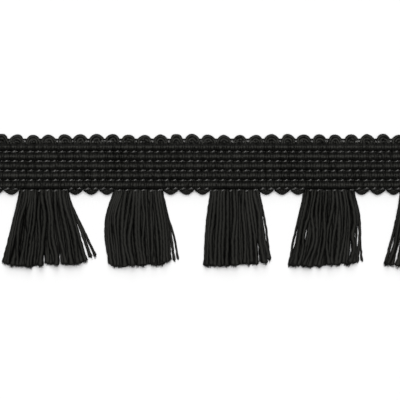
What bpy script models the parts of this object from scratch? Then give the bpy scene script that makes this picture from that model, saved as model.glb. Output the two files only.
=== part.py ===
"""Tassel fringe trim: a scalloped, ribbed heading with five flat tassels of cut yarn.

Metres, +Z up. A cut length lies face up on z = 0. +X runs along it, and +Y points from the
tassels to the scalloped upper edge. x = y = 0 is the middle of its length and of its height.
"""
import math

import bmesh
import bpy

# Driving dimensions, in metres
STITCH = 0.00305              # one chain stitch, measured along the heading
SCALLOP_STITCHES = 2          # stitches under one scallop of the upper edge
REPEAT_STITCHES = 12          # stitches from one tassel to the next
TASSELS = 5
HEIGHT = 0.0516               # scallop tips to the ends of the longest strands
GAP = 0.0003                  # clearance between neighbouring pieces

# Heading
FIRST_ROW_DEPTH = 0.00334     # scallop tips to the first row of chain stitch
ROW_PITCH = 0.00363
ROWS = 6
LOWER_EDGE_DEPTH = 0.02220    # scallop tips to the straight lower edge
SCALLOP_WIDTH = 0.0053        # of its loop, which leaves a short straight notch beside it
SCALLOP_RISE = 0.00216        # the tallest scallop's tip above the notches beside it
SCALLOP_DIP = 0.24            # share of that rise which is missing over a tassel
SCALLOP_UNEVENNESS = 0.08     # share of it by which a scallop may be lower anyway
LOWER_DOMES = 3               # small scallops in each space between tassels
LOWER_RISE = 0.00115
ROW_THICKNESS = 0.0015        # in the grooves, where the chain stitch draws the cloth in
RIB_THICKNESS = 0.0024        # on the crowns of the ribs
RIM_THICKNESS = 0.0010        # at both scalloped edges
PUFF = 0.0009                 # how far a scallop's loop swells between its row and its tip
RIM_UNDERCUT = 0.00025        # how far the underside stays inside the outline
RIB_STEPS = 6
SCALLOP_STEPS = 6
UPPER_STEPS = 4               # steps from the first row to the scallop tips
LOWER_STEPS = 2

# Tassels
TASSEL_WIDTH = 0.0197         # the stretch of the lower edge that a tassel takes
TASSEL_OFFSET = 0.0009        # a tassel's middle from the middle of its repeat
STRIP_DEPTH = 0.0012          # the backing strip, measured down the trim
STRIP_THICKNESS = 0.0025
STRAND_COLUMNS = 16
STRAND_LAYERS = 3
LAYER_SHIFTS = (0.0, 0.5, 0.25)                  # of each layer across, in columns
STRAND_WIDTH = 0.00115
STRAND_FILL = 0.84            # most of a column's width that a strand may take
STRAND_THICKNESS = 0.00092
STRAND_STATIONS = (0.0, 0.13, 0.34, 0.56, 0.78, 1.0)   # shares of a strand's length
LAYER_PITCH = 0.00112
ROOT_THICKNESS = 0.00068      # a strand where it leaves the strip
ROOT_PITCH = 0.0008           # from layer to layer at the roots
ROOT_MARGIN = 0.00012         # strip left around the outermost roots
WANDER = 0.4                  # share of the spare room between strands that one may use
WANDER_TURN = 4.0             # radians that its wander turns through down the strand
WANDER_START = 0.33           # share of the length over which it sets in
END_UNEVENNESS = 0.0006       # how much the cut ends vary
STRAY_FROM = 0.9              # share of the width past which strands stand off
GOLDEN_ANGLE = math.pi * (3 - math.sqrt(5))      # spreads a variation evenly over a count

# One row for each tassel: its shift from its even place; how far its left and right sides
# spread by the cut end and bow out half way down; how much shorter it is than the longest
# one, and its right side than its left; how far its outermost right strands stand off.
TASSEL_COLUMNS = ("shift", "left_flare", "left_bow", "right_flare", "right_bow",
                  "short", "slant", "stray")
TASSEL_TABLE = (
    (+0.00029, 0.0060, +0.0004, 0.0094, 0.0004, 0.0002, 0.0010, 0.0017),
    (-0.00023, 0.0009, +0.0033, 0.0028, 0.0018, 0.0000, 0.0018, 0.0028),
    (+0.00017, 0.0022, +0.0010, 0.0038, 0.0013, 0.0005, 0.0016, 0.0000),
    (-0.00008, 0.0059, +0.0006, 0.0025, 0.0015, 0.0003, 0.0019, 0.0000),
    (-0.00016, 0.0064, -0.0002, 0.0031, 0.0008, 0.0003, 0.0015, 0.0000),
)

# Places that follow from them
REPEAT = STITCH * REPEAT_STITCHES
SCALLOP = STITCH * SCALLOP_STITCHES
LENGTH = REPEAT * TASSELS
LEFT_END = -LENGTH / 2
RIGHT_END = LENGTH / 2
TIPS_Y = HEIGHT / 2
FIRST_ROW_Y = TIPS_Y - FIRST_ROW_DEPTH
LAST_ROW_Y = FIRST_ROW_Y - ROW_PITCH * (ROWS - 1)
LOWER_EDGE_Y = TIPS_Y - LOWER_EDGE_DEPTH
STRIP_TOP_Y = LOWER_EDGE_Y - GAP
ROOTS_Y = STRIP_TOP_Y - STRIP_DEPTH
STRAND_LENGTH = ROOTS_Y + HEIGHT / 2


def tassel_rows():
    """Each tassel's row as a dictionary, with the two ends of its stretch of the edge."""
    rows = []
    for number, values in enumerate(TASSEL_TABLE):
        row = dict(zip(TASSEL_COLUMNS, values))
        middle = LEFT_END + REPEAT * (number + 0.5) + TASSEL_OFFSET + row["shift"]
        row["left"] = middle - TASSEL_WIDTH / 2
        row["right"] = middle + TASSEL_WIDTH / 2
        rows.append(row)
    return rows


def vary(count):
    """A value from -1 to 1 that jumps evenly about as count goes up."""
    return math.sin(GOLDEN_ANGLE * count)


def station(x):
    """A place along the length, rounded so that lines share it exactly."""
    return round(x, 7)


def arc(start, chord, rise, x):
    """Height at x of the round arc that rises by rise over the chord from start."""
    radius = (chord * chord / 4 + rise * rise) / (2 * rise)
    across = x - start - chord / 2
    return math.sqrt(max(radius * radius - across * across, 0)) - (radius - rise)


def arc_stations(start, chord, rise):
    """Places along the chord that part the arc into equal angles."""
    radius = (chord * chord / 4 + rise * rise) / (2 * rise)
    half = math.asin(chord / 2 / radius)
    angles = [half * (2 * step / SCALLOP_STEPS - 1) for step in range(SCALLOP_STEPS + 1)]
    return [start + chord / 2 + radius * math.sin(angle) for angle in angles]


def upper_outline():
    """The upper edge as {x: (y, share of a full scallop)}: uneven arcs with notches between."""
    notch_y = TIPS_Y - SCALLOP_RISE
    outline = {station(RIGHT_END): (notch_y, 0)}
    for number in range(round(LENGTH / SCALLOP)):
        left = LEFT_END + SCALLOP * number
        outline[station(left)] = (notch_y, 0)
        from_repeat = left + SCALLOP / 2 - LEFT_END - TASSEL_OFFSET
        over_tassel = 0.5 - 0.5 * math.cos(2 * math.pi * from_repeat / REPEAT)
        uneven = 0.5 + 0.5 * vary(number)
        rise = SCALLOP_RISE * (1 - SCALLOP_DIP * over_tassel - SCALLOP_UNEVENNESS * uneven)
        start = left + (SCALLOP - SCALLOP_WIDTH) / 2
        for x in arc_stations(start, SCALLOP_WIDTH, rise):
            height = arc(start, SCALLOP_WIDTH, rise, x)
            outline[station(x)] = (notch_y + height, height / SCALLOP_RISE)
    return outline


def lower_outline(tassels):
    """The lower edge as {x: (y, share of a full dome)}: straight at tassels, arcs between."""
    space = REPEAT - TASSEL_WIDTH
    lefts = [tassels[0]["left"] - space] + [row["right"] for row in tassels]
    rights = [row["left"] for row in tassels] + [tassels[-1]["right"] + space]
    repeat_ends = [LEFT_END + REPEAT * count for count in range(TASSELS + 1)]
    outline = {}
    for left, right in zip(lefts, rights):
        chord = (right - left) / LOWER_DOMES
        for number in range(LOWER_DOMES):
            start = left + chord * number
            stations = arc_stations(start, chord, LOWER_RISE)
            stations += [x for x in repeat_ends if start < x < start + chord]
            for x in stations:
                if station(LEFT_END) <= station(x) <= station(RIGHT_END):
                    height = arc(start, chord, LOWER_RISE, x)
                    outline[station(x)] = (LOWER_EDGE_Y - height, height / LOWER_RISE)
    return outline


def edge_lines(bm, outline, row_y, steps):
    """Lines of vertices from a row of stitches out over the scallops and down their rim."""
    lines = []
    for step in range(steps + 1):
        share = step / steps
        flat = ROW_THICKNESS + (RIM_THICKNESS - ROW_THICKNESS) * share
        lines.append({
            x: bm.verts.new((x, row_y + (y - row_y) * share,
                             flat + PUFF * math.sin(math.pi * share) * fullness))
            for x, (y, fullness) in outline.items()})
    inward = math.copysign(RIM_UNDERCUT, outline[min(outline)][0] - row_y)
    lines.append({x: bm.verts.new((x, y - inward, 0)) for x, (y, _) in outline.items()})
    return lines


def rib_lines(bm):
    """Lines of vertices over the ribs, each rib half an ellipse between two rows."""
    ends = [station(LEFT_END + REPEAT * count) for count in range(TASSELS + 1)]
    lines = []
    for step in range(1, (ROWS - 1) * RIB_STEPS):
        rib, place = divmod(step, RIB_STEPS)
        angle = math.pi * place / RIB_STEPS
        y = FIRST_ROW_Y - ROW_PITCH * (rib + (1 - math.cos(angle)) / 2)
        z = ROW_THICKNESS + (RIB_THICKNESS - ROW_THICKNESS) * math.sin(angle)
        lines.append({x: bm.verts.new((x, y, z)) for x in ends})
    return lines


def join_lines(bm, first, second):
    """One face between each two neighbouring places that both lines pass."""
    shared = sorted(set(first) & set(second))
    for left, right in zip(shared, shared[1:]):
        there = [first[x] for x in sorted(first) if left <= x <= right]
        back = [second[x] for x in sorted(second, reverse=True) if left <= x <= right]
        bm.faces.new(there + back)


def heading_mesh(tassels):
    """The heading: lines of vertices around its section, joined along its length."""
    bm = bmesh.new()
    upper = edge_lines(bm, upper_outline(), FIRST_ROW_Y, UPPER_STEPS)
    lower = edge_lines(bm, lower_outline(tassels), LAST_ROW_Y, LOWER_STEPS)
    section = upper[::-1] + rib_lines(bm) + lower
    for first, second in zip(section, section[1:] + section[:1]):
        join_lines(bm, first, second)
    for end in (min(upper[0]), max(upper[0])):
        bm.faces.new([line[end] for line in section])
    return finished(bm, "heading")


def strand_place(row, layer, column, share):
    """Middle x, y and width of a strand, a share of the way from its root to its cut end.

    The sides spread as flare * share + bow * sin(pi * share), and the strands between them
    in proportion. One that ends off to a side reaches less far down, as its length is fixed.
    """
    steps = STRAND_COLUMNS - 0.5
    across = (column + LAYER_SHIFTS[layer]) / steps
    root_half = STRAND_FILL * TASSEL_WIDTH / STRAND_COLUMNS / 2
    root_left = row["left"] + GAP + ROOT_MARGIN + root_half
    root_right = row["right"] - GAP - ROOT_MARGIN - root_half

    def sides(share):
        bow = math.sin(math.pi * share)
        return (row["left_flare"] * share + row["left_bow"] * bow,
                row["right_flare"] * share + row["right_bow"] * bow)

    def sideways(share):
        left, right = sides(share)
        stray = row["stray"] * share ** 2 * max(across - STRAY_FROM, 0) / (1 - STRAY_FROM)
        return right * across - left * (1 - across) + stray

    pitch = (root_right - root_left + sum(sides(share))) / steps
    width = min(STRAND_WIDTH, STRAND_FILL * pitch)
    number = column + STRAND_COLUMNS * layer
    turn = math.sin(GOLDEN_ANGLE * number + WANDER_TURN * share)
    wander = WANDER * (pitch - width) * turn * min(share / WANDER_START, 1)
    uneven = END_UNEVENNESS * (0.5 + 0.5 * vary(3 * number)) if column else 0
    length = STRAND_LENGTH - row["short"] - row["slant"] * across ** 2 - uneven
    drop = math.sqrt(length ** 2 - sideways(1) ** 2)
    x = root_left + (root_right - root_left) * across + sideways(share) + wander
    return x, ROOTS_Y - drop * share, width


def strand_ring(bm, row, layer, column, share):
    """Four corners of a strand's section, level on its layer."""
    x, y, width = strand_place(row, layer, column, share)
    if share == 0:
        low = ROOT_MARGIN + ROOT_PITCH * layer
        high = low + ROOT_THICKNESS
    else:
        low = LAYER_PITCH * layer
        high = low + STRAND_THICKNESS
    corners = ((x - width / 2, low), (x + width / 2, low),
               (x + width / 2, high), (x - width / 2, high))
    return [bm.verts.new((corner_x, y, z)) for corner_x, z in corners]


def strand(bm, row, layer, column):
    """One strand with its cut end closed; returns the four edges of its open root."""
    rings = [strand_ring(bm, row, layer, column, share) for share in STRAND_STATIONS]
    for first, second in zip(rings, rings[1:]):
        for corner in range(4):
            bm.faces.new((first[corner - 1], first[corner],
                          second[corner], second[corner - 1]))
    bm.faces.new(rings[-1])
    return [bm.edges.get((rings[0][corner - 1], rings[0][corner])) for corner in range(4)]


def tassel_mesh(row, name):
    """One tassel: a strip whose lower face is filled round the roots of its strands."""
    bm = bmesh.new()
    bmesh.ops.create_cube(bm, size=1)
    for vert in bm.verts:
        vert.co.x = row["left"] + GAP if vert.co.x < 0 else row["right"] - GAP
        vert.co.y = ROOTS_Y if vert.co.y < 0 else STRIP_TOP_Y
        vert.co.z = 0 if vert.co.z < 0 else STRIP_THICKNESS
    lower_face = min(bm.faces, key=lambda face: face.calc_center_median().y)
    edges = list(lower_face.edges)
    bm.faces.remove(lower_face)
    for layer in range(STRAND_LAYERS):
        for column in range(STRAND_COLUMNS):
            edges += strand(bm, row, layer, column)
    bmesh.ops.triangle_fill(bm, use_beauty=True, edges=edges)
    return finished(bm, name)


def finished(bm, name):
    """A mesh from bm, with every face turned outwards."""
    bmesh.ops.recalc_face_normals(bm, faces=bm.faces)
    mesh = bpy.data.meshes.new(name)
    bm.to_mesh(mesh)
    bm.free()
    return mesh


def yarn_material(name, colour, roughness):
    """A plain yarn finish."""
    material = bpy.data.materials.new(name)
    material.use_nodes = True
    shader = material.node_tree.nodes["Principled BSDF"]
    shader.inputs["Base Color"].default_value = (*colour, 1)
    shader.inputs["Roughness"].default_value = roughness
    shader.inputs["Metallic"].default_value = 0
    return material


def place(mesh, material):
    """An object with the mesh's name, shown in the scene."""
    thing = bpy.data.objects.new(mesh.name, mesh)
    mesh.materials.append(material)
    bpy.context.scene.collection.objects.link(thing)


def main():
    for old in list(bpy.data.objects):
        bpy.data.objects.remove(old, do_unlink=True)
    tassels = tassel_rows()
    place(heading_mesh(tassels), yarn_material("heading_cloth", (0.021, 0.020, 0.019), 0.75))
    strands = yarn_material("tassel_yarn", (0.019, 0.019, 0.018), 0.8)
    for number, row in enumerate(tassels, start=1):
        place(tassel_mesh(row, f"tassel_{number}"), strands)


main()
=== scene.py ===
import math

import bpy
import numpy as np
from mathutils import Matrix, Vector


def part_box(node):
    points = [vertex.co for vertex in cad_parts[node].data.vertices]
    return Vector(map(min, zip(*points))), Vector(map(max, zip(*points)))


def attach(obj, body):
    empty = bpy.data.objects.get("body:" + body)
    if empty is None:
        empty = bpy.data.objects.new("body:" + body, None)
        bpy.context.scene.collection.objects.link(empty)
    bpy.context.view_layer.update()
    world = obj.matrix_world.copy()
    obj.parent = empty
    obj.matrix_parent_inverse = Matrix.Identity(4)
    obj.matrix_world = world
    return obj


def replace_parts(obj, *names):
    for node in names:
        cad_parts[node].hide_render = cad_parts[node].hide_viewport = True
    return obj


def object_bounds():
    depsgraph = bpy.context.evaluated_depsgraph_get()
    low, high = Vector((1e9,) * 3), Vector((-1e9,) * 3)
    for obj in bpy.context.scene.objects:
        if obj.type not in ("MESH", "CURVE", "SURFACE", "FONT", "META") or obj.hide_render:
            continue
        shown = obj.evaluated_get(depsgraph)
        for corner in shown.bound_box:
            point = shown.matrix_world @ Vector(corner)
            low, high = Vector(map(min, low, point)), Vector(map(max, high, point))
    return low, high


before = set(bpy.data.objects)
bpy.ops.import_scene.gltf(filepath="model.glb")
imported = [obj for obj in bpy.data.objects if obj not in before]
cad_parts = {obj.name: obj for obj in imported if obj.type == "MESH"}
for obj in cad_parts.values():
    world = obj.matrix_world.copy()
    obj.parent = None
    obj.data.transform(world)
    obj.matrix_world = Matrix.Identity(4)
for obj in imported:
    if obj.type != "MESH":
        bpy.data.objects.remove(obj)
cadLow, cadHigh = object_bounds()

# A tassel fringe trim, face up on a pale floor: +X runs along it, +Y points to its scallops.
# Sizes are in metres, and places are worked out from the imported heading.

headingLow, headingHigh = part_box("heading")
leftEnd = headingLow[0]
length = headingHigh[0] - headingLow[0]
tipsY = headingHigh[1]

cloth = {
    "courses": 60,            # weft bundles along the trim, one to each stitch
    "yarns": 3,               # in a bundle
    "rows": 6,                # lengthwise rows of chain stitch
    "firstRowDepth": 0.0033,  # scallop tips to the first row
    "rowPitch": 0.00363,
    "lean": 0.045,            # shift of a bundle to the right for each metre down the band
    "crownTop": 0.00260,      # top of the yarns on the ribs
    "grooveTop": 0.00142,     # top of the yarns under the stitches
    "repeat": 12,             # courses from one tassel to the next
    "tasselOffset": 0.0009,   # a tassel's middle from the middle of its repeat
    "tasselWidth": 0.0189,    # stretch of the lower edge that a tassel takes
    "tasselSpaces": 3,        # places for a lower loop that it takes in each repeat
}
course = length / cloth["courses"]
repeat = cloth["repeat"] * course
rowY = tipsY - cloth["firstRowDepth"] - cloth["rowPitch"] * np.arange(cloth["rows"])
lastRowY = rowY[-1]


# How far right a bundle has shifted at height y: lean * (tips - y).
def leanAt(y):
    return cloth["lean"] * (tipsY - y)


# 0 in the grooves and 1 on the crowns: |sin(pi * rows down from the first)| ** 1.4.
def ribRise(y):
    return np.abs(np.sin(np.pi * (rowY[0] - y) / cloth["rowPitch"])) ** 1.4


# The rows of a table, each as values by column name.
def rowsOf(columns, table):
    return [dict(zip(columns, values)) for values in table]


# The same table as one array for each column.
def columnsOf(columns, table):
    return {name: np.array(values) for name, values in zip(columns, zip(*table))}


# A mesh from a vertex array, a list of face arrays and the faces' UVs, corner by corner.
def gridMesh(name, vertices, faces, uvs):
    corners = np.concatenate([part.ravel() for part in faces])
    sizes = np.concatenate([np.full(len(part), part.shape[1]) for part in faces])
    starts = np.concatenate([[0], np.cumsum(sizes)[:-1]])
    mesh = bpy.data.meshes.new(name)
    mesh.vertices.add(len(vertices))
    mesh.vertices.foreach_set("co", np.asarray(vertices, dtype=np.float32).ravel())
    mesh.loops.add(len(corners))
    mesh.loops.foreach_set("vertex_index", corners.astype(np.int32))
    mesh.polygons.add(len(starts))
    mesh.polygons.foreach_set("loop_start", starts.astype(np.int32))
    mesh.update(calc_edges=True)
    mesh.polygons.foreach_set("use_smooth", np.full(len(starts), True))
    layer = mesh.uv_layers.new(name="yarnMap")
    layer.data.foreach_set("uv", np.asarray(uvs, dtype=np.float32).ravel())
    mesh.validate()
    thing = bpy.data.objects.new(name, mesh)
    bpy.context.scene.collection.objects.link(thing)
    return thing


# Each vector divided by its own length.
def unit(vectors):
    return vectors / np.maximum(np.linalg.norm(vectors, axis=-1, keepdims=True), 1e-12)


# Distance run along each path (count, stations, 3) from its start.
def runAlong(paths):
    steps = np.linalg.norm(np.diff(paths, axis=1), axis=-1)
    return np.concatenate([np.zeros((len(paths), 1)), np.cumsum(steps, axis=1)], axis=1)


# Closed tubes along many paths at once:
# point = path + side * width / 2 * r * cos(a) + up * height / 2 * r * sin(a), where
# r = 1 - crease * (1 - |cos(b)|) gives two plies at the angle b round the yarn, and
# a = b + phase + 2 pi * run / pitch twists them. Each end closes on a point. The map's x
# is the share of the way round and its y the run in mm.
def tubes(name, paths, width, height, sides, crease=0.0, pitch=None, phase=0.0):
    count, stations = paths.shape[:2]
    run = runAlong(paths)
    along = unit(np.gradient(paths, axis=1))
    side = unit(np.cross(along, (0.0, 0.0, 1.0)))
    up = np.cross(side, along)
    angle = 2 * np.pi * np.arange(sides) / sides
    twist = 2 * np.pi * run / pitch if pitch else 0 * run
    turned = angle - np.pi / 2 + np.broadcast_to(phase, count)[:, None, None]
    turned = turned + twist[..., None]
    radius = 0.5 * (1 - crease * (1 - np.abs(np.cos(angle))))
    across = np.broadcast_to(width, (count, stations))[..., None] * radius * np.cos(turned)
    through = np.broadcast_to(height, (count, stations))[..., None] * radius * np.sin(turned)
    rings = (paths[:, :, None] + side[:, :, None] * across[..., None]
             + up[:, :, None] * through[..., None])
    body = rings.reshape(-1, 3)
    vertices = np.concatenate([body, paths[:, [0, -1]].reshape(-1, 3)])

    tube = np.arange(count)[:, None, None] * stations * sides
    step = np.arange(stations - 1)[None, :, None] * sides
    spot = np.arange(sides)[None, None, :]
    after = (spot + 1) % sides
    quads = np.stack([tube + step + spot, tube + step + sides + spot,
                      tube + step + sides + after, tube + step + after], axis=-1)
    tube, spot, after = tube[:, 0], spot[0], after[0]
    pole = len(body) + 2 * np.arange(count)[:, None] + 0 * spot
    last = tube + (stations - 1) * sides
    starts = np.stack([pole, tube + spot, tube + after], axis=-1)
    ends = np.stack([pole + 1, last + after, last + spot], axis=-1)

    here = np.broadcast_to(spot / sides, (count, stations - 1, sides))
    there = here + 1 / sides
    near = np.broadcast_to(run[:, :-1, None] * 1000, here.shape)
    far = np.broadcast_to(run[:, 1:, None] * 1000, here.shape)
    quadUvs = np.stack([here, near, here, far, there, far, there, near], axis=-1)
    edge, nextEdge = here[:, 0], there[:, 0]
    middle = (edge + nextEdge) / 2
    first = np.zeros_like(edge)
    final = np.broadcast_to(run[:, -1:] * 1000, edge.shape)
    startUvs = np.stack([middle, first, edge, first, nextEdge, first], axis=-1)
    endUvs = np.stack([middle, final, nextEdge, final, edge, final], axis=-1)
    uvs = np.concatenate([quadUvs.ravel(), startUvs.ravel(), endUvs.ravel()])
    faces = [quads.reshape(-1, 4), starts.reshape(-1, 3), ends.reshape(-1, 3)]
    return gridMesh(name, vertices, faces, uvs)


# Catmull-Rom curve through knots (..., n, d), read at shares from 0 to 1 of the way.
def smoothPath(knots, share):
    count = knots.shape[-2]
    place = np.clip(share, 0, 1) * (count - 1)
    low = np.minimum(place.astype(int), count - 2)
    t = (place - low)[:, None]
    before, first, second, after = (
        knots[..., np.clip(low + shift, 0, count - 1), :] for shift in (-1, 0, 1, 2))
    return 0.5 * (2 * first + (second - before) * t
                  + (2 * before - 5 * first + 4 * second - after) * t ** 2
                  + (3 * first - before - 3 * second + after) * t ** 3)


# A math node; a plain number or another node's output may be given for each input.
def mathNode(tree, operation, *values):
    node = tree.nodes.new("ShaderNodeMath")
    node.operation = operation
    for socket, value in zip(node.inputs, values):
        if isinstance(value, (int, float)):
            socket.default_value = value
        else:
            tree.links.new(value, socket)
    return node.outputs[0]


# Noise with this many cells along each axis of a place.
def stretchedNoise(tree, place, cells, detail):
    mapping = tree.nodes.new("ShaderNodeMapping")
    mapping.inputs["Scale"].default_value = cells
    noise = tree.nodes.new("ShaderNodeTexNoise")
    noise.inputs["Scale"].default_value = 1.0
    noise.inputs["Detail"].default_value = detail
    tree.links.new(place, mapping.inputs["Vector"])
    tree.links.new(mapping.outputs["Vector"], noise.inputs["Vector"])
    return noise.outputs["Fac"]


# Noise by the input that scales it. Fibre has cells for each turn round the yarn and each
# mm along it, and the others have cells for each metre of the trim.
grain = {
    "Fibre": {"cells": (10.0, 0.6, 1.0), "detail": 3.0},
    "Tone": {"cells": (210.0, 80.0, 210.0), "detail": 1.0},
    "Mottle": {"cells": (700.0, 700.0, 700.0), "detail": 3.0},
}


# Shade and height of a plied yarn from its map, x once round it and y along it in mm:
# valley = groove * |sin(plies * pi * (x + y / pitch))| ** 4, the crease between its plies,
# shade = 0.5 + fibre - valley + tone + mottle, height = 0.5 + fibre - valley + lump * mottle.
# The crease sinks into the bump, and in the shade it darkens the colour there as painted shade.
# Fibre is drawn out along the yarn. Tone is drawn out down the trim, so it changes from
# yarn to yarn.
def yarnGroup():
    group = bpy.data.node_groups.new("pliedYarn", "ShaderNodeTree")
    for socketName in ("Plies", "Pitch", "Groove", "Fibre", "Tone", "Mottle", "Lump"):
        group.interface.new_socket(name=socketName, in_out="INPUT",
                                   socket_type="NodeSocketFloat")
    for socketName in ("Shade", "Height"):
        group.interface.new_socket(name=socketName, in_out="OUTPUT",
                                   socket_type="NodeSocketFloat")
    given = group.nodes.new("NodeGroupInput").outputs
    result = group.nodes.new("NodeGroupOutput").inputs
    yarnMap = group.nodes.new("ShaderNodeUVMap")
    yarnMap.uv_map = "yarnMap"
    split = group.nodes.new("ShaderNodeSeparateXYZ")
    group.links.new(yarnMap.outputs["UV"], split.inputs[0])
    turns = mathNode(group, "ADD", split.outputs["X"],
                     mathNode(group, "DIVIDE", split.outputs["Y"], given["Pitch"]))
    wave = mathNode(group, "SINE", mathNode(
        group, "MULTIPLY", mathNode(group, "MULTIPLY", turns, given["Plies"]), math.pi))
    dip = mathNode(group, "POWER", mathNode(group, "ABSOLUTE", wave), 4.0)
    creaseDepthAndShade = mathNode(group, "MULTIPLY", dip, given["Groove"])

    drawn = group.nodes.new("ShaderNodeCombineXYZ")
    group.links.new(turns, drawn.inputs["X"])
    group.links.new(split.outputs["Y"], drawn.inputs["Y"])
    where = group.nodes.new("ShaderNodeTexCoord").outputs["Object"]

    # One of the three grains at a place: (noise - 0.5) * the input of its name.
    def grainOf(name, place):
        noise = stretchedNoise(group, place, **grain[name])
        return mathNode(group, "MULTIPLY", mathNode(group, "SUBTRACT", noise, 0.5), given[name])

    fibre = grainOf("Fibre", drawn.outputs[0])
    tone = grainOf("Tone", where)
    mottle = grainOf("Mottle", where)
    plied = mathNode(group, "SUBTRACT", mathNode(group, "ADD", fibre, 0.5), creaseDepthAndShade)
    # The shade takes the crease from plied: painted shade between the plies, with the yarn's own
    # fibre, tone and mottle.
    shade = mathNode(group, "ADD", mathNode(group, "ADD", plied, tone), mottle)
    lump = mathNode(group, "MULTIPLY", mottle, given["Lump"])
    group.links.new(mathNode(group, "ADD", plied, lump), result["Height"])
    group.links.new(shade, result["Shade"])
    return group


# A yarn's finish: dark and light mixed by the group's shade, which holds painted shade in the
# ply crease besides the yarn's own fibre, tone and mottle, and its height as bump. The
# look has a value for each of the group's inputs.
def yarnMaterial(name, look, group):
    material = bpy.data.materials.new(name)
    material.use_nodes = True
    tree = material.node_tree
    shader = tree.nodes["Principled BSDF"]
    yarn = tree.nodes.new("ShaderNodeGroup")
    yarn.node_tree = group
    for socket in yarn.inputs:
        socket.default_value = look[socket.name.lower()]
    ramp = tree.nodes.new("ShaderNodeValToRGB")
    ramp.color_ramp.elements[0].color = (*look["dark"], 1)
    ramp.color_ramp.elements[1].color = (*look["light"], 1)
    bump = tree.nodes.new("ShaderNodeBump")
    bump.inputs["Strength"].default_value = look["bump"]
    bump.inputs["Distance"].default_value = bumpDepth
    tree.links.new(yarn.outputs["Shade"], ramp.inputs["Fac"])
    tree.links.new(ramp.outputs["Color"], shader.inputs["Base Color"])
    tree.links.new(yarn.outputs["Height"], bump.inputs["Height"])
    tree.links.new(bump.outputs["Normal"], shader.inputs["Normal"])
    shader.inputs["Roughness"].default_value = look["roughness"]
    shader.inputs["Specular IOR Level"].default_value = look["specular"]
    shader.inputs["Specular Tint"].default_value = look["tint"]
    return material


bumpDepth = 0.0001            # of a finish's full height
# The plies' pitch is in mm: 1000 leaves out the twist, which most tubes have in their form.
# Groove sinks the crease between the plies in the bump and darkens its colour there as painted
# shade.
finishes = {
    "weftYarn": {"dark": (0.0006, 0.0006, 0.00055), "light": (0.0064, 0.0063, 0.0059),
                 "roughness": 0.36, "specular": 0.13, "tint": (1, 1, 0.90, 1), "bump": 0.35,
                 "plies": 2.0, "pitch": 1000.0, "groove": 0.20, "fibre": 0.5, "tone": 0.7,
                 "mottle": 0.8, "lump": 5.0},
    "strandYarn": {"dark": (0.0006, 0.0006, 0.00055), "light": (0.0046, 0.0045, 0.0042),
                   "roughness": 0.48, "specular": 0.115, "tint": (1, 1, 0.90, 1), "bump": 0.35,
                   "plies": 2.0, "pitch": 1000.0, "groove": 0.12, "fibre": 0.5, "tone": 2.2,
                   "mottle": 0.9, "lump": 2.5},
    "chainThread": {"dark": (0.010, 0.010, 0.0095), "light": (0.040, 0.0395, 0.038),
                    "roughness": 0.26, "specular": 0.80, "tint": (1, 1, 0.97, 1), "bump": 0.2,
                    "plies": 3.0, "pitch": 1.6, "groove": 0.3, "fibre": 0.5, "tone": 0.2,
                    "mottle": 0.2, "lump": 0.0},
    "groundCloth": {"dark": (0.001, 0.001, 0.001), "light": (0.008, 0.008, 0.0077),
                    "roughness": 0.95, "specular": 0.1, "tint": (1, 1, 0.90, 1), "bump": 0.5,
                    "plies": 2.0, "pitch": 1000.0, "groove": 0.0, "fibre": 0.6, "tone": 0.3,
                    "mottle": 0.6, "lump": 0.0},
}
pliedYarn = yarnGroup()
materials = {name: yarnMaterial(name, look, pliedYarn) for name, look in finishes.items()}
print("materials made")


# Gives a piece its material and its body.
def finishPiece(thing, materialName):
    thing.data.materials.append(materials[materialName])
    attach(thing, "root")
    return thing


# The thin dark cloth that lies between the yarns and shows at the back.
ground = {
    "top": 0.0018,            # on the ribs
    "grooveTop": 0.0008,
    "edgeTop": 0.0007,        # at the edge under the scallops
    "bottom": 0.00025,
    "relief": 0.00012,        # how far the yarns' backs stand out below
    "pastFirstRow": 0.00151,  # edge above the first row
    "perCourse": 8,           # faces for each course, and across the band
    "across": 36,
}


# A closed slab. Above: groove + (top - groove) * ribRise(y), and past the first row it
# slopes from the groove to the edge. Below: bottom - relief * |cos(yarns * pi * courses
# along)| * ribRise(y), the backs of the yarns in each bundle. The map's x counts yarns and
# its y is in mm.
def makeGround():
    y = np.linspace(lastRowY, rowY[0] + ground["pastFirstRow"], ground["across"] + 1)
    courses = np.linspace(0, cloth["courses"], cloth["courses"] * ground["perCourse"] + 1)
    along, gridY = np.meshgrid(courses, y, indexing="ij")
    gridX = leftEnd + course * along + leanAt(gridY)
    past = np.clip((gridY - rowY[0]) / ground["pastFirstRow"], 0, 1)
    rise = ribRise(gridY)
    top = ground["grooveTop"] + (ground["top"] - ground["grooveTop"]) * rise * (past == 0)
    top = top + (ground["edgeTop"] - ground["grooveTop"]) * past
    backs = np.abs(np.cos(cloth["yarns"] * np.pi * along))
    bottom = ground["bottom"] - ground["relief"] * backs * rise
    vertices = np.concatenate([np.stack([gridX, gridY, top], axis=-1).reshape(-1, 3),
                               np.stack([gridX, gridY, bottom], axis=-1).reshape(-1, 3)])
    index = np.arange(gridX.size).reshape(gridX.shape)
    quad = np.stack([index[:-1, :-1], index[1:, :-1], index[1:, 1:], index[:-1, 1:]], axis=-1)
    quad = quad.reshape(-1, 4)
    rim = np.concatenate([index[:-1, 0], index[-1, :-1], index[:0:-1, -1], index[0, :0:-1]])
    onward = np.roll(rim, -1)
    wall = np.stack([rim, rim + gridX.size, onward + gridX.size, onward], axis=-1)
    faces = [quad, quad[:, ::-1] + gridX.size, wall]
    corners = np.concatenate([part.ravel() for part in faces])
    uvs = vertices[corners][:, :2] * (cloth["yarns"] / course, 1000)
    return gridMesh("groundCloth", vertices, faces, uvs)


groundCloth = finishPiece(makeGround(), "groundCloth")
print("ground made")

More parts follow.
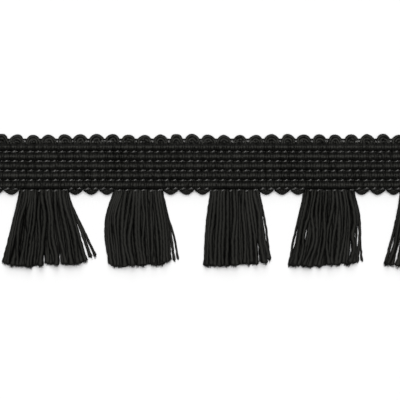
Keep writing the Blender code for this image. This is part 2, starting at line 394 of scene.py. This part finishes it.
# The weft: bundles of three yarns across the band, turned round in a scallop for each two.
weft = {
    "spacing": 0.00086,       # between a bundle's yarns on the ribs
    "squeeze": 0.78,          # share of that spacing left under a stitch
    "sideDrop": 0.00016,      # how much lower a bundle's outer yarns lie on the ribs
    "width": 0.00230,
    "height": 0.00076,
    "crease": 0.02,
    "turnWidth": 0.00145,     # round a scallop
    "turnHeight": 0.00125,
    "lowerWidth": 0.00146,    # round a loop of the lower edge
    "plyPitch": 0.0042,       # of a turn of its plies along a yarn
    "scallopTop": (0.00136, 0.00140, 0.00144),   # of each loop, from the outer one
    "scallopReach": 0.00005,  # past the solid's edge, where yarns only just cover it
    "scallopDip": 0.00028,    # how much lower a scallop is over a tassel
    "scallopUneven": (0.00008, 0.00010),   # along and up
    "scallopSpread": (0.00238, 0.00148, 0.00054),   # half widths of a scallop's loops
    "scallopStart": -0.0003,  # loops' middle above the first row
    "turnFrom": 0.0010,       # below that, where the bundles start to part into loops
    "lowerSpread": (0.00158, 0.00098, 0.00040),
    "lowerFoot": (0.00062, 0.00036, 0.00010),   # wider by this at the last row
    "lowerRise": (0.00122, 0.00078, 0.00034),
    "lowerTop": (0.00104, 0.00122, 0.00136),    # top of each loop at its lowest point
    "underTassel": 0.00045,   # above the last row, where a bundle ends over a tassel
    "underLoop": 0.0001,      # below it, where a bundle ends in a loop
    "uneven": 0.00006,        # of a yarn to its sides and up and down
    "turnUneven": 2.0,        # and this many times more round a scallop
    "unevenKnots": 30,
    "legSteps": 40,           # stations of a leg, a scallop and a loop, and sides
    "turnSteps": 14,
    "lowerSteps": 18,
    "sides": 8,
    "seed": 11,
    "lowerSeed": 12,
}


# Which spaces between bundles 2n + 1 and 2n + 2 lie clear of a tassel.
def clearOfTassels(number):
    place = number % (cloth["repeat"] // 2)
    return (place == 0) | (place > cloth["tasselSpaces"])


# Smooth random shifts (count, stations, 2), normal with the given size at each knot.
def unevenness(random, count, knots, stations, size):
    return smoothPath(random.normal(0, size, (count, knots, 2)), np.linspace(0, 1, stations))


# Yarns that run up one bundle, round a scallop and down the next.
# Legs: x = middle + lean -+ (half course + spacing * (1 - yarn)), and z follows the ribs.
# Turn: x = middle + lean - spread * cos(a) + sway * sin(a), y = start + rise * sin(a).
# A yarn goes from its width and height on a leg to those of a turn, and is then shifted
# by its unevenness.
def makeWeft():
    random = np.random.default_rng(weft["seed"])
    hairpins = np.arange(cloth["courses"] // 2)
    middle = leftEnd + course * (2 * hairpins + 1)
    outward = np.array([1, 0, -1])[:, None]      # of each yarn from its bundle's middle
    spread = np.array(weft["scallopSpread"])
    loopTop = np.array(weft["scallopTop"])[:, None]
    startY = rowY[0] + weft["scallopStart"]
    share = np.linspace(0, 1, weft["legSteps"])
    turn = np.linspace(0, np.pi, weft["turnSteps"] + 2)[1:-1]

    dip = 0.5 - 0.5 * np.cos(2 * np.pi * (middle - leftEnd - cloth["tasselOffset"]) / repeat)
    sway, reach = random.normal(0, 1, (2, len(middle), 1)) * np.array(
        weft["scallopUneven"])[:, None, None]
    reach = reach + weft["scallopReach"] - weft["scallopDip"] * dip[:, None]
    rise = (tipsY + reach - weft["turnWidth"] / 2 - startY) * spread / spread[0]

    # The legs on one side of the turns, with ribRise and the nearness of the turn along
    # them: a leg goes from its bundle's form to its loop's as near goes from 0 to 1.
    def leg(direction, clear):
        lowY = lastRowY + np.where(clear, -weft["underLoop"], weft["underTassel"])
        y = lowY[:, None, None] + (startY - lowY[:, None, None]) * share
        up = ribRise(y)
        near = np.clip((y - startY) / weft["turnFrom"] + 1, 0, 1)
        spacing = weft["spacing"] * (weft["squeeze"] + (1 - weft["squeeze"]) * up)
        offset = course / 2 + spacing * outward
        offset = offset * (1 - near) + spread[:, None] * near
        top = cloth["grooveTop"] + (cloth["crownTop"] - cloth["grooveTop"]) * up
        top = top - weft["sideDrop"] * up * np.abs(outward)
        top = top * (1 - near) + loopTop * near
        height = weft["height"] + (weft["turnHeight"] - weft["height"]) * near
        x = middle[:, None, None] + leanAt(y) + direction * offset
        return np.stack(np.broadcast_arrays(x, y, top - height / 2), axis=-1), up, near

    left, leftRise, leftNear = leg(-1, clearOfTassels(hairpins - 1))
    right, rightRise, rightNear = leg(1, clearOfTassels(hairpins))
    turnY = startY + rise[..., None] * np.sin(turn)
    turnX = middle[:, None, None] + leanAt(turnY) - spread[:, None] * np.cos(turn)
    turnX = turnX + sway[..., None] * np.sin(turn)
    turnZ = np.broadcast_to(loopTop - weft["turnHeight"] / 2, turnX.shape)
    paths = np.concatenate([left, np.stack([turnX, turnY, turnZ], axis=-1),
                            right[:, :, ::-1]], axis=2)
    paths = paths.reshape(-1, paths.shape[2], 3)

    # A value along whole yarns: the left leg's, one for the turn, and the right leg's.
    def wholeYarn(leftShare, turnShare, rightShare):
        turned = np.full((len(middle), 1, weft["turnSteps"]), turnShare)
        whole = np.concatenate([leftShare, turned, rightShare[..., ::-1]], axis=-1)
        return np.repeat(whole, cloth["yarns"], axis=1).reshape(len(paths), -1)

    onRibs = wholeYarn(leftRise, 0.0, rightRise)
    inTurn = wholeYarn(leftNear, 1.0, rightNear)
    width = weft["turnWidth"] + (weft["width"] - weft["turnWidth"]) * onRibs
    height = weft["height"] + (weft["turnHeight"] - weft["height"]) * inTurn
    shifts = unevenness(random, len(paths), weft["unevenKnots"], paths.shape[1],
                        weft["uneven"])
    paths[..., [0, 2]] += shifts * (1 + weft["turnUneven"] * inTurn[..., None])
    paths[..., 2] = np.maximum(paths[..., 2], height / 2)
    return tubes("weftYarn", paths, width, height, weft["sides"], weft["crease"],
                 weft["plyPitch"], random.random(len(paths)) * 2 * np.pi)


# Turns at the lower edge: x = middle + lean - spread * cos(a) - foot * cos(a) ** 9,
# y = last row - rise * sin(a) ** 1.3, and the top goes from the groove's to each loop's
# own by sin(a) ** 0.5.
def lowerTurns(middles, angles):
    spread, foot, rise, lowTop = (np.array(weft[name])[:, None] for name in (
        "lowerSpread", "lowerFoot", "lowerRise", "lowerTop"))
    y = lastRowY - rise * np.sin(angles) ** 1.3
    out = spread * np.cos(angles) + foot * np.cos(angles) ** 9
    x = np.asarray(middles)[:, None, None] + leanAt(y) - out
    top = cloth["grooveTop"] + (lowTop - cloth["grooveTop"]) * np.sin(angles) ** 0.5
    z = top - weft["height"] / 2
    return np.stack(np.broadcast_arrays(x, y, z), axis=-1).reshape(-1, len(angles), 3)


# The loops in each space between tassels, and half loops, cut across, at the two ends.
def makeLowerLoops():
    random = np.random.default_rng(weft["lowerSeed"])
    number = np.arange(cloth["courses"] // 2 - 1)
    clear = number[clearOfTassels(number)]
    whole = np.linspace(0, np.pi, weft["lowerSteps"])
    half = np.linspace(0, np.pi / 2, weft["lowerSteps"])
    paths = np.concatenate([
        lowerTurns(leftEnd + course * (2 * clear + 2), whole),
        lowerTurns([leftEnd], np.pi - half),
        lowerTurns([leftEnd + length], half)])
    return tubes("lowerLoops", paths, weft["lowerWidth"], weft["height"], weft["sides"],
                 weft["crease"], weft["plyPitch"], random.random(len(paths)) * 2 * np.pi)


weftYarn = finishPiece(makeWeft(), "weftYarn")
lowerLoops = finishPiece(makeLowerLoops(), "weftYarn")
print("weft made")

# The chain stitch: six rows of shiny thread that tie the bundles down.
chain = {
    "thread": 0.00042,        # its thickness
    "halfWidth": 0.00014,     # legs' middles from the row's middle
    "overBundle": 0.00160,    # thread's middle over a bundle
    "overScallop": 0.00097,   # the same in the first row
    "between": 0.00080,       # thread's middle between bundles
    "tasselSink": 0.00020,    # how much deeper it lies there in a tassel
    "tasselLower": 0.00008,   # and over a tassel's bundles
    "tasselFade": 0.0024,     # stretch at a tassel's side over which the row changes
    "up": 0.00015,            # of a row above the middle of its groove
    "firstUp": 0.00022,       # more of the first row, which rides up into the scallops
    "lastUp": 0.00055,        # of the last row, instead of up
    "slant": 0.00032,         # rise to the right along a stitch
    "lastSlant": 0.00042,     # the same in the last row
    "tasselDrop": (0.00066, 0.00080),  # how far its even and odd stitches sag at a tassel
    "lastLift": 0.00030,      # and how much higher it lies between tassels
    "shift": 0.11,            # of a stitch to the right of its bundle
    "uneven": 0.00004,
    "refine": 2,              # stations for each row of the table
    "sides": 6,
    "seed": 5,
}
# One stitch, from where it comes up: along it in stitches, to the side in half widths, and
# its height from 0 between bundles to 1 over them.
chainColumns = ("along", "side", "height")
chainTable = (
    (-0.04, -0.40, 0.00),
    (0.17, -0.90, 0.50),
    (0.31, -1.00, 0.93),
    (0.43, -1.00, 1.00),
    (0.57, -1.00, 0.74),
    (0.86, -0.80, 0.30),
    (1.10, 0.00, 0.05),
    (0.86, 0.80, 0.30),
    (0.67, 1.00, 0.74),
    (0.53, 1.00, 1.00),
    (0.41, 1.00, 0.93),
    (0.27, 0.90, 0.50),
    (-0.04, 0.40, 0.00),
    (0.10, 0.00, -0.60),
    (0.60, 0.00, -0.80),
)


# How much of a tassel hangs from the last row at x: 1 over it and 0 clear of it, by
# (half its width + half the fade - distance from its middle) / fade.
def overTassel(x):
    fromMiddle = (x - leftEnd - cloth["tasselOffset"]) % repeat - repeat / 2
    reach = cloth["tasselWidth"] / 2 + chain["tasselFade"] / 2
    return np.clip((reach - np.abs(fromMiddle)) / chain["tasselFade"], 0, 1)


# Each row is one thread: the table's stitch, shifted one stitch along each time.
# x = left end + (stitch + along + shift) * course + lean, y = row + up + side * half width
# + slant * (along - 0.5), and z = between + (over - between) * height. Where a tassel hangs
# from the last row, its stitches sag and sink.
def makeChain():
    random = np.random.default_rng(chain["seed"])
    stitches = np.arange(cloth["courses"])
    perStitch = len(chainTable)
    stitch = columnsOf(chainColumns, chainTable)
    along, side, height = (np.tile(stitch[name], len(stitches)) for name in chainColumns)
    knotX = (np.repeat(stitches, perStitch) + along + chain["shift"]) * course + leftEnd
    toSide = side * chain["halfWidth"]
    paths = []
    for row, y in enumerate(rowY):
        first, last = row == 0, row == cloth["rows"] - 1
        wobble = random.normal(0, chain["uneven"], (2, len(stitches)))
        wobble = np.repeat(wobble, perStitch, axis=1)
        over = chain["overScallop"] if first else chain["overBundle"]
        slant = chain["lastSlant"] if last else chain["slant"]
        x = knotX + leanAt(y)
        knotY = y + chain["lastUp" if last else "up"] + toSide
        knotY = knotY + slant * (along - 0.5) + wobble[0]
        knotY = knotY + first * chain["firstUp"]
        knotZ = chain["between"] + (over - chain["between"]) * height + wobble[1]
        if last:
            covered = overTassel(x)
            sag = np.repeat(np.array(chain["tasselDrop"])[stitches % 2], perStitch)
            knotY = knotY - sag * covered
            knotZ = knotZ + chain["lastLift"] * (1 - covered) * (toSide != 0)
            deeper = chain["tasselSink"] * (1 - height)
            knotZ = knotZ - (deeper + chain["tasselLower"]) * covered
        way = np.stack([x, knotY, np.maximum(knotZ, chain["thread"])], axis=-1)
        paths.append(smoothPath(way, np.linspace(0, 1, (len(way) - 1) * chain["refine"] + 1)))
    return tubes("chainStitch", np.array(paths), chain["thread"], chain["thread"],
                 chain["sides"])


chainStitch = finishPiece(makeChain(), "chainThread")
print("chain stitch made")

# The tassels: cut two-ply strands, tied under the last row and settled on each other.
tassel = {
    "rootAbove": 0.00030,     # start of the strands above the last row
    "rootInset": 0.35,        # outer strands' middle inside the tassel's side, in widths
    "rootPinch": 0.10,        # share of a stitch drawn together under its loop
    "rootRise": (0.00030, 0.00034),   # of the lowest strands' middle, and of each layer
    "rootSize": (0.84, 0.09), # share of a strand's thickness there, and of the way to all
    "layerRise": 0.00095,     # of each layer over the one below, further down
    "riseOver": 0.10,         # share of the way by which they have it
    "spreadFrom": 0.0021,     # y below which the sides spread
    "driftKnots": (6, 4),     # across the tassel and down it
    "driftOver": 0.25,        # share of the spreading part over which the drift comes in
    "sideDrift": (0.15, 9),   # share of it left at a side, and how fast it grows inwards
    "crease": 0.06,
    "plyPitch": 0.0054,       # of a turn of its plies along a strand
    "crimp": 0.00006,         # small waves along a strand
    "crimpKnots": 26,
    "broader": 0.22,          # share by which the upper strands differ in thickness
    "endInside": 0.0001,      # of the solids' box, where a full length ends
    "endPast": 0.00015,       # added to it, because unevenness only shortens a strand
    "endUneven": 0.00030,     # between one strand's end and the next
    "endTufts": (0.00150, 0.3, 0.00085),   # tips' spacing, its unevenness, their depth
    "endFrom": 0.91,          # share of the way down where a strand starts to open out
    "endSwell": 0.40,
    "endTaper": (0.012, 0.4), # share of the way over which the tip closes, and to what
    "sideSlits": 0.39,        # past this from the middle only strays lie outside a slit
    "slitRamp": 0.09,         # share of the way over which strands make room for a slit
    "stations": 76,
    "sides": 12,
    "seed": 40,               # of the first tassel, and of its thicknesses
    "broaderSeed": 60,
}
settling = {
    "stations": 24,           # sections in which the strands are settled
    "rounds": 60,
    "size": (0.55, 0.35),     # share of a radius that pushes at the root, and more below it
    "push": 0.45,             # share of an overlap that a strand gives way by
    "hold": 0.08,             # share of the way back to where it was led
    "sink": 0.000015,         # towards the floor, each round
}
# Strands of each layer, lowest first: their spacing where it's widest; width, height; how
# unevenly they are spaced, in spacings; how far they drift from side to side together,
# and each alone; the share of a push that they take.
layerColumns = ("spacing", "width", "height", "jitter", "drift", "own", "yields")
layerTable = (
    (0.00142, 0.00174, 0.00092, 0.04, 0.00012, 0.00003, 0.0),
    (0.00245, 0.00164, 0.00104, 0.32, 0.00055, 0.00014, 0.6),
    (0.00330, 0.00156, 0.00108, 0.42, 0.00090, 0.00016, 1.0),
)
layers = columnsOf(layerColumns, layerTable)
# For each tassel: shift from its even place; spread by the cut end and bow half way down,
# left and right.
tasselColumns = ("shift", "leftFlare", "leftBow", "rightFlare", "rightBow")
tasselTable = (
    (+0.00029, 0.0062, +0.0001, 0.0071, +0.0000),
    (-0.00020, 0.0017, +0.0027, 0.0030, +0.0010),
    (+0.00030, 0.0024, +0.0006, 0.0041, +0.0006),
    (-0.00008, 0.0059, +0.0003, 0.0015, +0.0019),
    (-0.00016, 0.0060, -0.0006, 0.0031, +0.0008),
)
# How many mm short of the longest each one's strands are cut, at every tenth across it.
endTable = (
    (1.6, 1.0, 0.5, 0.2, 0.5, 1.2, 1.0, 1.3, 0.9, 1.1, 1.9),
    (0.5, 0.0, 0.0, 0.2, 0.3, 0.5, 0.8, 1.6, 0.5, 1.3, 2.1),
    (0.5, 0.1, 0.2, 0.5, 0.4, 0.9, 1.0, 1.3, 1.3, 1.9, 2.2),
    (0.9, 0.3, 0.2, 0.4, 0.2, 0.5, 0.8, 0.9, 1.0, 1.5, 1.7),
    (1.4, 0.4, 0.6, 0.3, 0.5, 0.7, 0.8, 0.9, 1.1, 1.6, 2.5),
)
# Slits where the floor shows: place across the tassel, shares of the way down from where
# and to where it is open (past 1 stays open at the cut end), and its width.
partingColumns = ("tassel", "place", "opens", "closes", "wide")
partingTable = (
    (0, 0.489, 0.88, 1.06, 0.0007),
    (0, 0.686, 0.94, 1.08, 0.0009),
    (0, 0.804, 0.95, 1.08, 0.0004),
    (2, 0.993, 0.37, 0.70, 0.0003),
    (2, 0.850, 0.73, 0.80, 0.0004),
    (2, 0.848, 0.87, 1.10, 0.0006),
    (3, -0.012, 0.52, 0.77, 0.0003),
    (3, 0.140, 0.43, 0.62, 0.0003),
    (3, 0.936, 0.55, 0.66, 0.0004),
    (3, 0.980, 0.60, 0.71, 0.0002),
    (3, 0.880, 0.72, 0.86, 0.0006),
    (4, 0.015, 0.64, 0.88, 0.0003),
    (4, 0.118, 0.66, 1.02, 0.0005),
)
# Thin strays: their place across the tassel, the share of the way down where they leave
# it, how far out they get to the right, the power of their way there, and their shares of
# the others' length and thickness. At the tassel's side they keep to its outline.
strayColumns = ("tassel", "place", "leaves", "out", "power", "length", "thickness")
strayTable = (
    (0, 1.00, 0.25, +0.0034, 0.75, 0.912, 0.60),
    (0, 1.00, 0.20, +0.0017, 0.35, 0.935, 0.74),
    (0, 0.00, 0.78, -0.0003, 0.75, 0.985, 0.50),
    (1, 1.00, 0.38, +0.0030, 0.65, 0.965, 0.48),
    (1, 1.00, 0.48, +0.0016, 0.65, 0.985, 0.60),
    (2, 1.00, 0.00, 0.0000, 1.00, 1.000, 0.50),
    (3, -0.013, 0.00, 0.0000, 1.00, 1.000, 0.54),
    (3, 1.00, 0.00, 0.0000, 1.00, 1.000, 0.66),
    (3, 0.962, 0.00, 0.0000, 1.00, 1.000, 0.50),
    (3, 1.00, 0.72, +0.0016, 0.75, 0.962, 0.50),
    (4, 0.00, 0.00, 0.0000, 1.00, 1.000, 0.70),
)


# Eases a share from 0 to 1: s * s * (3 - 2 * s).
def eased(share):
    return share * share * (3 - 2 * share)


# Moves strands out of the slits: from its line, a strand's middle has to be half the slit
# and half its own width away on its own side; how near it is to the slit fades this in.
def makeRoom(x, halfWidth, slits):
    for line, near, side, halfGap in slits:
        x = x + side * near * np.clip(halfGap + halfWidth - side * (x - line), 0, None)
    return x


# Pushes the strands apart in each section and lets them sink onto the floor: two that
# overlap each move along the line between them, each by its yield, then each strand is
# smoothed along its length, drawn a little way back to where it was led, and kept out of
# the slits. The roots stay.
def settle(x, z, radius, yields, halfWidth, slits):
    ledX = x.copy()
    rootX, rootZ = x[0].copy(), z[0].copy()
    for _ in range(settling["rounds"]):
        awayX = x[:, :, None] - x[:, None, :]
        awayZ = z[:, :, None] - z[:, None, :]
        distance = np.sqrt(awayX ** 2 + awayZ ** 2) + 1e-9
        overlap = np.clip(radius[..., None] + radius[:, None, :] - distance, 0, None)
        push = settling["push"] * overlap / distance * yields[:, None]
        x = x + (push * awayX).sum(axis=2) + settling["hold"] * (ledX - x)
        z = z + (push * awayZ).sum(axis=2) - settling["sink"]
        x[1:-1] = 0.5 * x[1:-1] + 0.25 * (x[2:] + x[:-2])
        z[1:-1] = 0.5 * z[1:-1] + 0.25 * (z[2:] + z[:-2])
        x = makeRoom(x, halfWidth, slits)
        z = np.maximum(z, radius)
        x[0], z[0] = rootX, rootZ
    return x, z


# Where strands stand: their layer, place across the tassel from 0 to 1, and thickness
# beside their layer's. A layer's strands are (column + 0.5) / count across, the lowest
# ones column / (count - 1), and then jittered. The strays come last.
def placeStrands(random, number, widest, strays):
    counts = np.rint(widest / layers["spacing"]).astype(int)
    layer = np.repeat(np.arange(len(layerTable)), counts)
    count = counts[layer]
    column = np.concatenate([np.arange(strands) for strands in counts])
    across = np.where(layer == 0, column / (count - 1), (column + 0.5) / count)
    loose = layers["jitter"][layer] / count
    across = np.clip(across + loose * random.uniform(-1, 1, len(layer)), 0, 1)
    broader = np.random.default_rng(tassel["broaderSeed"] + number).uniform(-1, 1, len(layer))
    thickness = 1 + tassel["broader"] * broader * (layer > 0)
    return (np.concatenate([layer, np.zeros(len(strays), dtype=int)]),
            np.concatenate([across, [stray["place"] for stray in strays]]),
            np.concatenate([thickness, [stray["thickness"] for stray in strays]]))


# Side to side drift of strands at places across, down to the shares of their way: random
# knots smoothed both ways, so that strands beside each other share it.
def driftOf(random, across, share):
    knotsAcross, knotsDown = tassel["driftKnots"]
    knots = smoothPath(random.normal(0, 1, (knotsAcross, knotsDown, 1)), share)[..., 0]
    return smoothPath(knots, across)


# How far strands wander: the drift of their layer and their own, each times its size,
# from nothing at the root, and less towards the sides.
def wanderOf(random, layer, across, fan, share):
    drift = np.concatenate([driftOf(random, across[layer == each], share)
                            for each in range(len(layerTable))])
    knots = random.normal(0, 1, (len(across), tassel["driftKnots"][1], 1))
    alone = smoothPath(knots, share)[..., 0]
    wander = (layers["drift"][layer, None] * drift + layers["own"][layer, None] * alone).T
    least, growth = tassel["sideDrift"]
    wander = wander * np.clip(fan / tassel["driftOver"], 0, 1)
    return wander * np.clip(np.minimum(across, 1 - across) * growth, least, 1)


# A tassel's slits: the line of each one's middle, how near each section is to it from 0
# to 1, each strand's side of it, and its half width, wide / 2 * sin(pi * its own share).
def slitsOf(number, across, strays, fan, lineAt):
    slits = []
    body = len(across) - len(strays)
    for slit in rowsOf(partingColumns, partingTable):
        if slit["tassel"] == number:
            opens, closes, place = slit["opens"], slit["closes"], slit["place"]
            near = np.minimum(fan - opens, closes - fan) / tassel["slitRamp"] + 1
            phase = np.clip((fan - opens) / (closes - opens), 0, 1)
            side = np.sign(across - place)
            if abs(place - 0.5) > tassel["sideSlits"]:
                side[:body] = np.sign(0.5 - place)
            slits.append((lineAt(place), eased(np.clip(near, 0, 1)), side,
                          slit["wide"] / 2 * np.sin(np.pi * phase)))
    return slits


# How much shorter than a full length each strand is cut, by the table at its place, and
# unevenly: by an amount of its own, and by random depths at tips in line with each other.
def cutShort(random, number, across, tipX):
    uneven = tassel["endUneven"] * np.abs(random.normal(0, 1, len(across)))
    spacing, jitter, depth = tassel["endTufts"]
    tips = np.arange(tipX.min(), tipX.max() + spacing, spacing)
    tips = tips + spacing * random.uniform(-jitter, jitter, len(tips))
    uneven = uneven + depth * np.interp(tipX, tips, random.random(len(tips)))
    short = np.interp(across, np.linspace(0, 1, len(endTable[number])), endTable[number])
    return short / 1000, uneven


# One tassel's strands as a single mesh, and what its frayed ends are made from: the last
# stations with their widths and heights. With s the share of the spreading part, a strand
# is led down x = root + its share of the left and right spread, each flare * s + bow *
# sin(pi * s ** 0.8), - pinch * (1 - s) ** 8 from its stitch's middle + what it wanders.
def makeTassel(number, row):
    random = np.random.default_rng(tassel["seed"] + number)
    strays = [stray for stray in rowsOf(strayColumns, strayTable)
              if stray["tassel"] == number]
    middle = leftEnd + repeat * (number + 0.5) + cloth["tasselOffset"] + row["shift"]
    half = cloth["tasselWidth"] / 2 - layers["width"][0] * tassel["rootInset"]
    startY = lastRowY + tassel["rootAbove"]
    fullLength = startY - cadLow[1] - tassel["endInside"]
    share = np.linspace(0, 1, settling["stations"])
    spreadStart = (startY - tassel["spreadFrom"]) / fullLength
    fan = np.clip((share[:, None] - spreadStart) / (1 - spreadStart), 0, 1)
    bow = np.sin(np.pi * fan ** 0.8)
    leftOut = row["leftFlare"] * fan + row["leftBow"] * bow
    rightOut = row["rightFlare"] * fan + row["rightBow"] * bow
    widest = cloth["tasselWidth"] + (leftOut + rightOut).max()
    layer, across, thickness = placeStrands(random, number, widest, strays)
    body = len(layer) - len(strays)

    # The root at a place across the tassel, from 0 to 1.
    def rootAt(place):
        return middle - half + 2 * half * place

    # The line down from there: root + right spread * place - left spread * (1 - place).
    def lineAt(place):
        return rootAt(place) + rightOut * place - leftOut * (1 - place)

    fromStitch = (rootAt(across) - leftEnd - leanAt(lastRowY)) / course % 1 - 0.5
    pinch = tassel["rootPinch"] * course * fromStitch * (1 - fan) ** 8
    # At the tassel's side a thinner stray is moved out until its outer side is in line.
    outward = np.trunc(2 * across - 1) * (1 - thickness) / 2 * layers["width"][0]
    x = lineAt(across) - pinch + outward
    x[:, :body] += wanderOf(random, layer, across, fan, share)[:, :body]
    for strand, stray in enumerate(strays, start=body):
        gone = np.clip((fan[:, 0] - stray["leaves"]) / (1 - stray["leaves"]), 0, 1)
        x[:, strand] += stray["out"] * gone ** stray["power"]

    width = layers["width"][layer] * thickness
    height = layers["height"][layer] * thickness
    opened = eased(np.clip(share[:, None] / tassel["riseOver"], 0, 1))
    rootZ = tassel["rootRise"][0] + tassel["rootRise"][1] * layer
    z = rootZ * (1 - opened) + (height / 2 + tassel["layerRise"] * layer) * opened
    radius = height / 2 * (settling["size"][0] + settling["size"][1] * opened)
    x, z = settle(x, z, radius, layers["yields"][layer], width / 2,
                  slitsOf(number, across, strays, fan, lineAt))

    short, uneven = cutShort(random, number, across, x[-1])
    drop = fullLength + tassel["endPast"] - short - uneven
    drop[body:] *= [stray["length"] for stray in strays]
    y = startY - drop * share[:, None]
    along = np.linspace(0, 1, tassel["stations"])
    paths = smoothPath(np.stack([x.T, y.T, z.T], axis=-1), along)
    crimp = unevenness(random, len(paths), tassel["crimpKnots"], len(along), tassel["crimp"])
    paths[..., 0] += crimp[..., 0] * along ** 0.5

    rootSize, rootWay = tassel["rootSize"]
    taper, closed = tassel["endTaper"]
    size = rootSize + (1 - rootSize) * np.clip(along / rootWay, 0, 1)
    size = size * np.clip((1 - along) / taper, closed, 1)
    opening = np.clip((along - tassel["endFrom"]) / (1 - tassel["endFrom"]), 0, 1)
    width, height = width[:, None] * size, height[:, None] * size
    paths[..., 2] = np.maximum(paths[..., 2], height / 2)
    strands = tubes(f"tasselYarn{number + 1}", paths, width * (1 + tassel["endSwell"] * opening),
                    height, tassel["sides"], tassel["crease"], tassel["plyPitch"],
                    random.random(len(paths)) * 2 * np.pi)
    return strands, (paths[:, -3:], width[:, -3], height[:, -3])


# The fibres that stand out of the strands' cut ends.
fray = {
    "fibres": 14,             # out of each end
    "thickness": 0.00018,
    "inside": 0.00070,        # where they start, before the end
    "length": (0.00070, 0.00130),
    "tuft": (0.70, 1.40),     # times that, for all the fibres of a strand
    "spread": 0.9,            # of the strand's half width and height, at the start
    "splay": -0.1,            # how much wider they stand at their tips
    "bend": 0.00018,
    "taper": 0.7,             # share of its thickness that a fibre loses by its tip
    "steps": 5,
    "sides": 4,
    "seed": 77,
}


# Fibre = end + way * (t * tuft * length - inside) + (side and up places) * (1 + splay * t)
# + bend * t ** 2, t from 0 to 1, with its thickness times 1 - taper * t.
def makeFray(cuts):
    random = np.random.default_rng(fray["seed"])
    last, widths, heights = (np.concatenate(part) for part in zip(*cuts))
    last = np.repeat(last, fray["fibres"], axis=0)
    widths, heights = (np.repeat(part, fray["fibres"]) for part in (widths, heights))
    way = unit(last[:, -1] - last[:, 0])
    side = unit(np.cross(way, (0.0, 0.0, 1.0)))
    up = np.cross(side, way)
    angle = random.uniform(0, 2 * np.pi, len(way))
    reach = 0.5 * fray["spread"] * np.sqrt(random.random(len(way)))
    place = side * (widths * reach * np.cos(angle))[:, None]
    place = place + up * (heights * reach * np.sin(angle))[:, None]
    t = np.linspace(0, 1, fray["steps"])
    tuft = np.repeat(random.uniform(*fray["tuft"], len(way) // fray["fibres"]), fray["fibres"])
    onward = (tuft * random.uniform(*fray["length"], len(way)))[:, None] * t - fray["inside"]
    bend = random.normal(0, fray["bend"], (len(way), 1, 3)) * t[:, None] ** 2
    paths = last[:, -1:] + way[:, None] * onward[..., None] + bend
    paths = paths + place[:, None] * (1 + fray["splay"] * t[:, None])
    paths[..., 2] = np.maximum(paths[..., 2], fray["thickness"])
    thickness = np.broadcast_to(fray["thickness"] * (1 - fray["taper"] * t), paths.shape[:2])
    return tubes("cutFibres", paths, thickness, thickness, fray["sides"])


cuts = []
for number, row in enumerate(rowsOf(tasselColumns, tasselTable)):
    strands, cut = makeTassel(number, row)
    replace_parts(finishPiece(strands, "strandYarn"), f"tassel_{number + 1}")
    cuts.append(cut)
cutFibres = finishPiece(makeFray(cuts), "strandYarn")
print("tassels made")

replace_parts(groundCloth, "heading")

studio = {
    "floorSize": 4,
    "floorWhite": 0.535,
    "floorRoughness": 0.9,
    "floorSpecular": 0.1,
    "ambient": 0.22,          # strength of the light from all around
    "frameWidth": 0.1529,     # of the trim's length that the camera takes in
    "aim": (-0.01217, 0.00044, 0.002),   # the camera looks straight down at this
    "lens": 135,
}
# Both lamps stand on the scalloped side: their height above the floor and size in degrees,
# and whether they show in the yarn's gloss. The low one is there for the floor's shadow.
lampColumns = ("name", "strength", "height", "size", "glossy")
lampTable = (
    ("softKey", 4.1, 77, 75, True),
    ("lowFill", 2.3, 33, 40, False),
)


# A pale floor, the lamps, light from all around, and a camera whose height above its aim
# is frame width * lens / sensor width.
def makeStudio():
    bpy.ops.mesh.primitive_plane_add(size=studio["floorSize"])
    floor = bpy.context.active_object
    floor.name = "floor"
    paper = bpy.data.materials.new("floorPaper")
    paper.use_nodes = True
    shade = paper.node_tree.nodes["Principled BSDF"]
    white = studio["floorWhite"]
    shade.inputs["Base Color"].default_value = (white, white, white, 1)
    shade.inputs["Roughness"].default_value = studio["floorRoughness"]
    shade.inputs["Specular IOR Level"].default_value = studio["floorSpecular"]
    floor.data.materials.append(paper)

    for lamp in rowsOf(lampColumns, lampTable):
        sun = bpy.data.lights.new(lamp["name"], "SUN")
        sun.energy = lamp["strength"]
        sun.angle = math.radians(lamp["size"])
        sunObject = bpy.data.objects.new(lamp["name"], sun)
        sunObject.rotation_euler = (math.radians(lamp["height"] - 90), 0, 0)
        sunObject.visible_glossy = lamp["glossy"]
        bpy.context.scene.collection.objects.link(sunObject)

    world = bpy.data.worlds.new("paleRoom")
    world.use_nodes = True
    world.node_tree.nodes["Background"].inputs["Strength"].default_value = studio["ambient"]
    world.node_tree.nodes["Background"].inputs["Color"].default_value = (1, 1, 1, 1)
    bpy.context.scene.world = world
    bpy.context.scene.view_settings.view_transform = "Standard"

    lens = bpy.data.cameras.new("camera")
    lens.lens = studio["lens"]
    camera = bpy.data.objects.new("camera", lens)
    aimX, aimY, aimZ = studio["aim"]
    camera.location = (aimX, aimY, aimZ + studio["frameWidth"] * lens.lens / lens.sensor_width)
    bpy.context.scene.collection.objects.link(camera)
    bpy.context.scene.camera = camera


makeStudio()
print("studio made")
